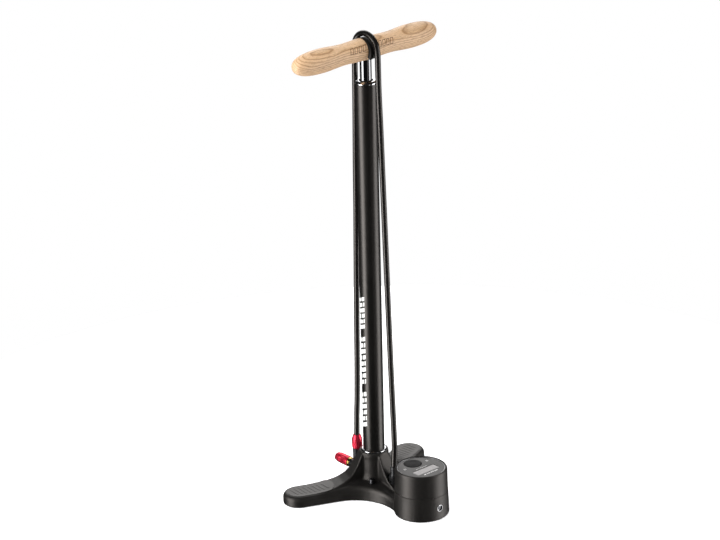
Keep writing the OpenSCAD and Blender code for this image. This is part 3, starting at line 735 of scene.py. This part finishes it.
side_x = half_length * np.sin(np.linspace(0, math.pi / 2, 150))
side_x = np.concatenate([side_x[side_x > 8.4],
                         [0, 3, 6, 7.3, 7.46, 7.5, 7.54, 7.62, 7.72, 7.86, 8.1]])
stations = np.unique(np.concatenate([side_x, -side_x]))[:, None]
turn = np.linspace(0, 2 * math.pi, 220, endpoint=False)[None, :]
full = handle_radius(stations) + 0 * turn
edge_in = np.clip(1 - (np.abs(stations) - groove_half) / groove_edge, 0, 1)
rounded = full - groove_edge * (1 - np.sqrt(1 - edge_in ** 2)) * (np.sin(turn) > -0.72)
ray_y, ray_z = -np.cos(turn), np.sin(turn)
along = ray_y * arch_y + ray_z * arch_z
floor_at = along + np.sqrt(along ** 2 - arch_y ** 2 - arch_z ** 2 + groove_floor ** 2)
in_groove = (np.abs(stations) < groove_half) & (full * ray_z > -12)
radius = np.where(in_groove, np.minimum(floor_at, full), rounded)
handle_grid = np.stack([stations + 0 * turn, axis_y / mm + radius * ray_y,
                        handle_z + radius * ray_z], -1) * mm
handle = skin("handle_turned", [handle_grid], sharp=45)

wood, tree, bsdf = shader("oiled_ash", Specular_IOR_Level=0.35, Coat_Roughness=0.35,
                          Coat_Weight=0.06)
place = add(tree, "ShaderNodeTexCoord").outputs["Object"]
# growth rings: distance from the log's pith, which ran beside and behind the bar, nearly
# along it; a slow wander along the grain makes the loops on the swells
shift = add(tree, "ShaderNodeMapping", {"Vector": place},
            {"Location": (0.0, -axis_y - 0.026, -handle_z * mm + 0.058)})
wander = add(tree, "ShaderNodeMapping", {"Vector": place}, {"Scale": (9.0, 34.0, 34.0)})
wander_noise = add(tree, "ShaderNodeTexNoise", {"Vector": wander.outputs[0]},
                   {"Scale": 1.0, "Detail": 2.0, "Roughness": 0.45})
parts = add(tree, "ShaderNodeSeparateXYZ", {0: shift.outputs[0]})
pith = add(tree, "ShaderNodeCombineXYZ", {"Y": parts.outputs["Y"], "Z": parts.outputs["Z"]})
reach_out = add(tree, "ShaderNodeVectorMath", {0: pith.outputs[0]}, operation="LENGTH")
wandered = add(tree, "ShaderNodeMath", {0: wander_noise.outputs["Fac"],
                                        2: reach_out.outputs["Value"]}, {1: 0.011},
               operation="MULTIPLY_ADD")
ring_count = add(tree, "ShaderNodeMath", {0: wandered.outputs[0]}, {1: 400.0},
                 operation="MULTIPLY")
ring_share = add(tree, "ShaderNodeMath", {0: ring_count.outputs[0]}, operation="FRACT")
rings_tone = shades(tree, ring_share.outputs[0], [
    (0.0, (0.37, 0.200, 0.090)), (0.15, (0.61, 0.395, 0.220)), (0.45, (0.70, 0.480, 0.300)),
    (0.88, (0.67, 0.445, 0.265)), (1.0, (0.37, 0.200, 0.090))])
# open pores: short dark dashes along the grain, thicker at the start of each ring
dash = add(tree, "ShaderNodeMapping", {"Vector": place}, {"Scale": (130.0, 2300.0, 2300.0)})
dash_noise = add(tree, "ShaderNodeTexNoise", {"Vector": dash.outputs[0]},
                 {"Scale": 1.0, "Detail": 3.0, "Roughness": 0.6})
early = add(tree, "ShaderNodeMapRange", {"Value": ring_share.outputs[0]},
            {"From Min": 0.0, "From Max": 0.5, "To Min": 0.09, "To Max": 0.0})
dash_sum = add(tree, "ShaderNodeMath", {0: dash_noise.outputs["Fac"],
                                        1: early.outputs["Result"]}, operation="ADD")
pores = add(tree, "ShaderNodeMapRange", {"Value": dash_sum.outputs[0]},
            {"From Min": 0.54, "From Max": 0.68})
fibre = add(tree, "ShaderNodeMapping", {"Vector": place}, {"Scale": (22.0, 800.0, 800.0)})
fibre_noise = add(tree, "ShaderNodeTexNoise", {"Vector": fibre.outputs[0]},
                  {"Scale": 1.0, "Detail": 4.0, "Roughness": 0.65})
fibre_tone = shades(tree, fibre_noise.outputs["Fac"], [(0.3, (0.80, 0.78, 0.76)),
                                                       (0.7, (1.0, 1.0, 1.0))])
toned = add(tree, "ShaderNodeMix", {"A": rings_tone, "B": fibre_tone}, data_type="RGBA",
            blend_type="MULTIPLY")
toned.inputs[0].default_value = 0.7
wood_mix = add(tree, "ShaderNodeMix", data_type="RGBA", blend_type="MIX")
tree.links.new(pores.outputs["Result"], wood_mix.inputs[0])
tree.links.new(toned.outputs[2], wood_mix.inputs[6])
wood_mix.inputs[7].default_value = (0.30, 0.175, 0.09, 1.0)
tree.links.new(wood_mix.outputs[2], bsdf.inputs["Base Color"])
tree.links.new(ranged(tree, fibre_noise.outputs["Fac"], 0.42, 0.62), bsdf.inputs["Roughness"])
wood_height = add(tree, "ShaderNodeMath", {0: fibre_noise.outputs["Fac"],
                                           1: pores.outputs["Result"]}, operation="SUBTRACT")
bumped(tree, bsdf, wood_height.outputs[0], 0.00012, 0.6)
paint([handle], wood, "plunger", "handle_wood", "handle")


# Burnt marks: a row of slanted outlines burnt into the handle's front beside the groove.
burnt, tree, bsdf, marks = clouded("burnt_wood", (0.7, 0.9), (0.08, 0.040, 0.018),
                                   (0.20, 0.115, 0.06), (0.3, 0.7), 0.002, 0.0004,
                                   Specular_IOR_Level=0.2)
bumped(tree, bsdf, marks["Cloud"], 0.00005)


frame_pitch, frame_width, frame_low, frame_high = 7.1, 5.4, 1.8, 11.2
frame_lean, stroke, mark_r = 0.28, 0.95, 15.5


def burnt_outline(x, width, low, high, lean, line):
    """Closed thin frame on the handle: a leaning box seen from the front, line being its
    stroke; low and high are heights round the handle in millimetres."""
    steps = np.linspace(0, 1, 12)[:-1]
    corners = [(0, 0), (1, 0), (1, 1), (0, 1), (0, 0)]
    path = np.concatenate([np.array(a) + steps[:, None] * (np.array(b) - np.array(a))
                           for a, b in zip(corners[:-1], corners[1:])])
    size = np.array([width, high - low])
    outer, inner = path * size, line + path * (size - 2 * line)
    rows = []
    for flat, rise in ((outer, 0.02), (inner, 0.02), (inner, -0.2), (outer, -0.2)):
        turn = (low + flat[:, 1]) / mark_r
        rows.append(on_handle(x + flat[:, 0] + lean * flat[:, 1], turn, rise))
    return np.stack(rows)


frames = []
for start in (-38.5, 10.5):
    for i in range(4):
        frames.append(burnt_outline(start + frame_pitch * i, frame_width, frame_low,
                                    frame_high, frame_lean, stroke))
burnt_marks = skin("burnt_marks", frames, loop_rows=True)
paint([burnt_marks], burnt, "plunger", "handle_wood")


# Saddle: a black band in the groove, dished along its middle for the hose. Its black is painted shade: a dark
# sheet that stands for the deep shade in the groove under the hose's arch.
saddle_u = np.linspace(math.radians(-30), math.radians(210), 97)
saddle_v = np.array([(-7.4, 12.5), (-7.4, 17.8), (-7.1, 18.3), (-6.4, 18.4), (-4.2, 18.2),
                     (-2, 17.6), (0, 17.4), (2, 17.6), (4.2, 18.2), (6.4, 18.4), (7.1, 18.3),
                     (7.4, 17.8), (7.4, 12.5)])
saddle_grid = np.stack([
    saddle_v[None, :, 0] + 0 * saddle_u[:, None],
    axis_y / mm + arch_y - saddle_v[None, :, 1] * np.cos(saddle_u[:, None]),
    handle_z + arch_z + saddle_v[None, :, 1] * np.sin(saddle_u[:, None])], -1) * mm
saddle = skin("groove_saddle_painted_shade", [saddle_grid], ends=True)
# the saddle's near-black colour is painted shade for the groove under the hose's arch
saddle_painted_shade = pebbled("saddle_plastic_painted_shade", (0.0040, 0.0038, 0.0036), (0.0075, 0.0072, 0.0068),
                       (0.62, 0.78), 0.0004, 0.00003)
paint([saddle], saddle_painted_shade, "plunger", "inner_plastic", "hose_saddle")


# Gauge housing: moulded black cup-shaped cover, screwed down on the casting's cup from below.
# Its rim is rounded, with a machined mouth for the face.
gauge_at = (0.0, gauge_y)
gauge_black = pebbled("gauge_grain", (0.0050, 0.0048, 0.0045), (0.0090, 0.0087, 0.0082),
                      (0.42, 0.50), 0.00045, 0.00002)
housing_line = eased([
    (33, 35.5, 0), (37.3, 35.5, 0.5), (37.1, 36.6, 0.2), (36.5, 65.6, 0.8), (35.6, 68.0, 0.9),
    (34.5, 68.6, 0.3), (34, 68.4, 0.2), (34, 65, 0.2), (31, 65, 0.3), (31, 61.9, 0.3),
    (33, 61.9, 0.3)])
housing = turned("gauge_cover", housing_line, centre=gauge_at, steps=192)
post_reach = 29 * mm
posts = []
for degrees in (45, 135, 225, 315):
    post = (post_reach * math.cos(math.radians(degrees)),
            gauge_y + post_reach * math.sin(math.radians(degrees)))
    posts.append(spun(np.array([(1.6, 6.2), (3.6, 6.2), (3.6, 63), (1.6, 63)]) * mm,
                      centre=post, steps=32))
gauge_posts = skin("gauge_posts", posts, loop_rows=True)
paint([housing], gauge_black, "base", "gauge_plastic", "gauge_housing")
paint([gauge_posts], gauge_black, "base", "gauge_plastic")


# Gauge face: satin black plate behind a bright ring, with the display's window, printed
# lines and marks, and the hole for the button.
face_ring = turned("face_ring", eased([
    (32.7, 65, 0.2), (33.5, 65, 0.2), (33.5, 67.2, 0.25), (33.0, 67.6, 0.2), (32.7, 67.5, 0.1)]),
    centre=gauge_at, steps=192)
paint([face_ring], plain_steel, "base", "screw_steel", "gauge_ring")
face_black, tree, bsdf, _ = clouded("face_plate", (0.3, 0.4), (0.0110, 0.0105, 0.0100),
                                    (0.0170, 0.0163, 0.0155), (0.3, 0.8), 0.02, 0.0003,
                                    Specular_IOR_Level=0.24, Specular_Tint=warm_gloss)
bumped(tree, bsdf, use(tree, grain, Size=0.0003)["Height"], 0.000008)


def softened(name, node, width, sharp=32):
    """Merged copy of a CAD node with its edges bevelled, for a part whose form is right."""
    copy = bpy.data.meshes.new_from_object(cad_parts[node])
    copy.materials.clear()
    work = bmesh.new()
    work.from_mesh(copy)
    bmesh.ops.remove_doubles(work, verts=work.verts, dist=1e-6)
    bmesh.ops.dissolve_limit(work, angle_limit=math.radians(0.5), verts=work.verts,
                             edges=work.edges)
    work.to_mesh(copy)
    work.free()
    piece = bpy.data.objects.new(name, copy)
    bpy.context.scene.collection.objects.link(piece)
    copy.shade_smooth()
    copy.set_sharp_from_angle(angle=math.radians(sharp))
    edge = piece.modifiers.new("edges", "BEVEL")
    edge.width = width
    edge.segments = 2
    edge.limit_method = "ANGLE"
    edge.angle_limit = math.radians(sharp)
    edge.harden_normals = True
    return piece


face = softened("face_plate", "gauge_face", 0.2 * mm)
paint([face], face_black, "base", "face_plastic", "gauge_face")
face_top = 67.2


def face_mark(x, y, width, depth, lean=0.0):
    """Thin printed slab on the face, about its middle, given from the gauge's centre."""
    u, v = np.meshgrid(np.linspace(-0.5, 0.5, 3), np.linspace(-0.5, 0.5, 3), indexing="ij")
    top = np.stack([(x + u * width + lean * v * depth) * mm,
                    gauge_y + (y + v * depth) * mm, (face_top + 0.02) * mm + 0 * u], -1)
    return slab(top, 0.05 * mm)


face_print_marks = [face_mark(x, -20.8, 2.0, 2.2, 0.3) for x in np.arange(-10.8, 11, 3.6)]
face_print_marks += [face_mark(x, -20.8, 0.7, 2.2, 0.3) for x in np.arange(-12.4, 10, 7.2)]
face_print_marks += [face_mark(x, 11.5, 3.4, 0.9, 0.4) for x in (-20.5, 20.5)]
face_print_marks += [face_mark(x + s, 9.4, 1.2, 1.2) for x in (-20.5, 20.5) for s in (-1, 1)]
face_print_marks += [face_mark(x, -0.9, 1.3, 0.8) for x in np.arange(-9, 9.1, 1.8)]
face_print = skin("face_marks", face_print_marks, ends=True)
print_grey, tree, bsdf, _ = clouded("face_print", (0.4, 0.55), (0.55, 0.54, 0.53),
                                    (0.70, 0.69, 0.68), (0.3, 0.7), 0.003, Specular_IOR_Level=0.4)
paint([face_print], print_grey, "base", "face_plastic")


# Display: a grey liquid crystal in its window, under clear plastic, with its faint unlit
# figures.
lcd, tree, bsdf, _ = clouded("liquid_crystal", (0.18, 0.3), (0.115, 0.103, 0.099),
                             (0.150, 0.135, 0.130), (0.25, 0.8), 0.015, 0.0004,
                             Specular_IOR_Level=0.4, Coat_Weight=0.2, Coat_Roughness=0.08)
display = softened("display_window", "gauge_display", 0.3 * mm)
paint([display], lcd, "base", "display", "gauge_display")
display_top = 66.8


def figure_bar(x, y, width, depth):
    """One bar of an unlit figure on the display, leaning with the figure."""
    u, v = np.meshgrid(np.linspace(-0.5, 0.5, 2), np.linspace(-0.5, 0.5, 3), indexing="ij")
    along_y = y + v * depth
    top = np.stack([(x + u * width + 0.12 * along_y) * mm, gauge_y + (along_y - 10) * mm,
                    (display_top + 0.01) * mm + 0 * u], -1)
    return slab(top, 0.03 * mm)


figure_bars = []
for x in (-10.5, -3.5, 3.5, 10.5):
    figure_bars += [figure_bar(x, y, 2.6, 0.5) for y in (-3.6, 0, 3.6)]
    figure_bars += [figure_bar(x + s, y, 0.5, 2.8) for s in (-1.9, 1.9) for y in (-1.8, 1.8)]
figures = skin("display_figures", figure_bars, ends=True)
unlit, tree, bsdf, _ = clouded("unlit_figures", (0.2, 0.3), (0.155, 0.138, 0.132),
                               (0.180, 0.162, 0.155), (0.3, 0.7), 0.004, Specular_IOR_Level=0.4)
paint([figures], unlit, "base", "display")


# Button: soft black cap with a low dome and a ring of fine ridges for the fingertip.
button_at = (0.0, gauge_y + 17 * mm)
button_line = [(0, 64.6, 0), (12.5, 64.6, 0.2), (12.5, 67.3, 0.5), (11.4, 67.9, 0.5)]
for ridge in np.arange(10.2, 3.0, -1.2):
    crown = 67.92 + 0.3 * (1 - (ridge / 11.4) ** 2)
    button_line += [(ridge + 0.3, crown, 0.1), (ridge, crown + 0.16, 0.15),
                    (ridge - 0.3, crown, 0.1)]
button_line += [(2.6, 68.22, 0.3), (0, 68.28, 0)]
button = turned("button_cap", eased(button_line), centre=button_at, steps=96, sharp=60)
paint([button], rubber, "button", "black_rubber", "gauge_button")


# Inside the gauge: circuit board, and the sensor and valve seat in turned brass.
board, tree, bsdf = shader("circuit_board", Specular_IOR_Level=0.5)
marks = use(tree, handling, Cloud_size=0.003, Speck_size=0.0006)
tree.links.new(shades(tree, marks["Cloud"], [(0.4, (0.015, 0.075, 0.035)),
                                             (0.6, (0.030, 0.120, 0.060))]),
               bsdf.inputs["Base Color"])
tree.links.new(ranged(tree, marks["Speck"], 0.25, 0.6), bsdf.inputs["Roughness"])
dress(board, "gauge_board")
brass, tree, bsdf, _ = clouded("turned_brass", (0.14, 0.28), (0.62, 0.43, 0.13), (0.78, 0.58, 0.22),
                               (0.3, 0.8), 0.004, Metallic=1.0)
bumped(tree, bsdf, use(tree, lathe, Fineness=6000.0)["Ring"], 0.00002)
dress(brass, "pressure_sensor", "valve_seat", "chuck_pin")


# Clamp eyelet: bright eyelet in a counterbore on the cup's front, round the small screw that
# holds the air passage's plug.
eyelet_line = eased([(4.1, 0.5, 0.1), (4.75, 0.4, 0.2), (4.75, 2.5, 0), (2.75, 2.5, 0), (2.75, 2.2, 0),
                      (4.1, 2.2, 0)])
eyelet_line[:, 1] += gauge_y - cup_r
eyelet = turned("front_eyelet", eyelet_line, centre=(0.0, 18 * mm), lying=True, steps=64)
paint([eyelet], plain_steel, "base", "screw_steel", "clamp_eyelet")
dress(blackened, "clamp_screw")


# Hose fitting: turned aluminium stub with a flange, and a black hexagon nut that holds it.
fitting_at = (0.0, axis_y - 42 * mm)
fitting = turned("fitting_stub", eased([
    (2, 17, 0), (6, 17, 0.3), (6, 25, 0), (8.5, 25, 0.3), (8.5, 27, 0.4), (6, 27.3, 0.2),
    (6, 37.6, 0.4), (5.4, 38.4, 0.2), (5.4, 41, 0), (5.05, 41.3, 0), (5.05, 42.3, 0),
    (5.4, 42.6, 0), (5.4, 45, 0), (5.05, 45.3, 0), (5.05, 46.3, 0), (5.4, 46.6, 0),
    (5.4, 50, 0.5), (2, 50, 0.2)]), centre=fitting_at, steps=72)
paint([fitting], anodised, "base", "black_anodised", "hose_fitting")


nut_r, nut_bore = 8 * mm, 6.3 * mm


def hexagon(radius, turn, height):
    """Pulls a circle in to a hexagon's flats; its corners keep the radius, and each end is
    chamfered because the outline's own radius is smaller there."""
    flat = nut_r * math.cos(math.pi / 6) / np.cos((turn + math.pi / 6) % (math.pi / 3)
                                                   - math.pi / 6)
    return np.where(radius > nut_bore, np.minimum(radius, flat), radius + 0 * turn)


nut = turned("fitting_nut", eased([
    (6.05, 29, 0.2), (7.2, 29, 0.1), (8, 29.6, 0.1), (8, 35.4, 0.1), (7.2, 36, 0.1),
    (6.05, 36, 0.2)]), centre=fitting_at, steps=120, shape=hexagon, sharp=25)
paint([nut], anodised, "base", "black_anodised", "hose_nut")


# Ferrule and collar: red anodised aluminium, turned, with shallow flutes for the fingers. The
# ferrule is crimped on the hose, and the collar screws onto the chuck.
red, tree, bsdf, _ = clouded("red_anodised", (0.24, 0.36), (0.60, 0.016, 0.045),
                             (0.74, 0.04, 0.075), (0.3, 0.8), 0.006, 0.0003, Metallic=0.75)
bumped(tree, bsdf, use(tree, lathe, Fineness=7000.0)["Ring"], 0.00001)


flute_count, flute_depth, flute_fade, chuck_z = 12, 0.4 * mm, 1.5 * mm, 25 * mm


def fluted(first, last, count, depth):
    """Cuts count shallow hollows round a part between two heights, fading at both."""
    def shape(radius, turn, height):
        share = np.clip((height - first) / flute_fade, 0, 1)
        share = share * np.clip((last - height) / flute_fade, 0, 1)
        hollow = (0.5 + 0.5 * np.cos(turn * count)) ** 2
        return radius - np.where(radius > 6 * mm, depth * hollow * share, 0)
    return shape


def stepped(radius, low, high, count=14):
    """Straight run of an outline with stops for the flutes."""
    return [(radius, z, 0) for z in np.linspace(low, high, count)]


ferrule = turned("hose_ferrule_turned", eased(
    [(2, 52.8, 0), (5.9, 52.8, 0.2), (7.2, 54.4, 0.3), (7.2, 55.2, 0.1), (7.0, 55.3, 0.1),
     (7.0, 55.9, 0.1)] + stepped(7.4, 56.3, 64)
    + [(7.4, 64.9, 0.2), (7.0, 65.2, 0.1), (7.0, 65.9, 0.1), (7.35, 66.2, 0.1), (7.3, 67.4, 0.4),
       (5.2, 73.3, 0.3), (4.7, 73.8, 0.1), (2, 73.8, 0)]),
    centre=(0.0, axis_y + 36 * mm), steps=120,
    shape=fluted(56.3 * mm, 64 * mm, flute_count, flute_depth))
paint([ferrule], red, "base", "red_anodised", "hose_ferrule")
collar_line = eased(
    [(2.5, 53, 0), (6.9, 53, 0.2), (7.4, 53.8, 0.3), (7.4, 56.2, 0.1), (6.8, 56.5, 0.1),
     (6.8, 57.6, 0.1), (7.4, 57.9, 0.1)] + stepped(7.4, 58.6, 68.6)
    + [(7.4, 69.4, 0.1), (6.8, 69.7, 0.1), (6.8, 70.6, 0.1), (7.1, 70.9, 0.1), (7.1, 74.6, 0.5),
       (6.4, 75.3, 0.2), (6.2, 78.6, 0.6), (5.2, 79.4, 0.3), (4, 79.4, 0.3), (4, 67.4, 0),
       (2.5, 67.4, 0)])
collar_line[:, 1] += axis_y
collar = turned("chuck_collar_turned", collar_line, centre=(0.0, chuck_z), lying=True, steps=120,
                shape=fluted(axis_y + 58.6 * mm, axis_y + 68.6 * mm, flute_count, flute_depth))
paint([collar], red, "collar", "red_anodised", "chuck_collar")


# Chuck: black anodised elbow pushed onto a stub on the hub, and its brass ring.
chuck = softened("chuck_elbow", "chuck_body", 0.5 * mm)
paint([chuck], anodised, "base", "black_anodised", "chuck_body")
brass_line = eased([(4, 48.8, 0.1), (6.9, 48.8, 0.4), (6.9, 50.4, 0.1), (6.5, 50.6, 0.1),
                    (6.5, 50.9, 0.1), (6.9, 51.1, 0.1), (6.9, 52.6, 0.4), (4, 52.6, 0.1)])
brass_line[:, 1] += axis_y
brass_ring = turned("chuck_brass", brass_line, centre=(0.0, chuck_z), lying=True, steps=96)
paint([brass_ring], brass, "base", "brass", "chuck_ring")
dress(polished, "chuck_dock")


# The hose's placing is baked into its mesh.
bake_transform(hose)


# Stage: a small pale floor in a white surround. Tall soft boxes stand left and right, one
# hangs overhead, and a bright sheet behind the pump lights its upper faces.
floor_r, floor_drop = 0.8, 0.0002
floor_u, floor_v = np.meshgrid(np.linspace(0, 1, 12), np.linspace(0, 2 * math.pi, 72,
                                                                  endpoint=False), indexing="ij")
floor_grid = np.stack([floor_r * floor_u * np.cos(floor_v), floor_r * floor_u * np.sin(floor_v),
                       -floor_drop + 0 * floor_u], -1)
floor = skin("studio_floor", [floor_grid])
floor_paper, tree, bsdf = shader("floor_paper", Specular_IOR_Level=0.0, Roughness=0.9,
                                 Emission_Color=(1, 1, 1, 1), Emission_Strength=0.62)
marks = use(tree, handling, Cloud_size=0.4)
tree.links.new(shades(tree, marks["Cloud"], [(0.3, (0.86, 0.86, 0.86)),
                                             (0.8, (0.88, 0.88, 0.88))]),
               bsdf.inputs["Base Color"])
floor.data.materials.append(floor_paper)
floor.visible_glossy = False
floor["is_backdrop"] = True

world = bpy.data.worlds.new("studio")
bpy.context.scene.world = world
world.use_nodes = True
tree = world.node_tree
tree.nodes.clear()
seen = add(tree, "ShaderNodeLightPath")
bright = add(tree, "ShaderNodeBackground", values={"Color": (1, 1, 1, 1), "Strength": 1.0})
dim = add(tree, "ShaderNodeBackground", values={"Color": (1, 1, 1, 1), "Strength": 0.02})
either = add(tree, "ShaderNodeMixShader", {0: seen.outputs["Is Camera Ray"],
                                           1: dim.outputs[0], 2: bright.outputs[0]})
add(tree, "ShaderNodeOutputWorld", {"Surface": either.outputs[0]})


def soft_box(name, azimuth, height, distance, size, power, tilt=0.0):
    """Area light that faces the barrel; azimuth is the way it stands from the pump, and tilt
    lowers its aim, in degrees."""
    turn, dip = math.radians(azimuth), math.radians(tilt)
    spot = np.array([math.cos(turn) * distance, axis_y + math.sin(turn) * distance, height])
    to_light = np.array([math.cos(turn) * math.cos(dip), math.sin(turn) * math.cos(dip),
                         math.sin(dip)])
    aside = np.array([-math.sin(turn), math.cos(turn), 0])
    above = np.cross(to_light, aside)
    light = bpy.data.lights.new(name, "AREA")
    light.shape = "RECTANGLE"
    light.size, light.size_y = size
    light.energy = power
    lamp = bpy.data.objects.new(name, light)
    lamp.matrix_world = Matrix([*np.column_stack([aside, above, to_light, spot]), [0, 0, 0, 1]])
    lamp.visible_camera = False
    bpy.context.scene.collection.objects.link(lamp)
    return lamp


soft_box("left_box", 165, -0.1, 1.6, (1.0, 2.4), 58)
soft_box("right_box", -46, -0.1, 1.4, (0.95, 2.4), 30)
soft_box("front_strip", -95, -0.1, 1.6, (0.18, 2.4), 1.2)
over_box = soft_box("over_box", 195, 1.9, 1.0, (1.2, 1.2), 38, 55)
over_box.visible_glossy = False
soft_box("rear_box", 49, 1.5, 2.2, (2.4, 1.8), 38, 30)

bpy.context.scene.view_settings.view_transform = "Standard"

# Box round everything that renders, the floor left out.
low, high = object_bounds()
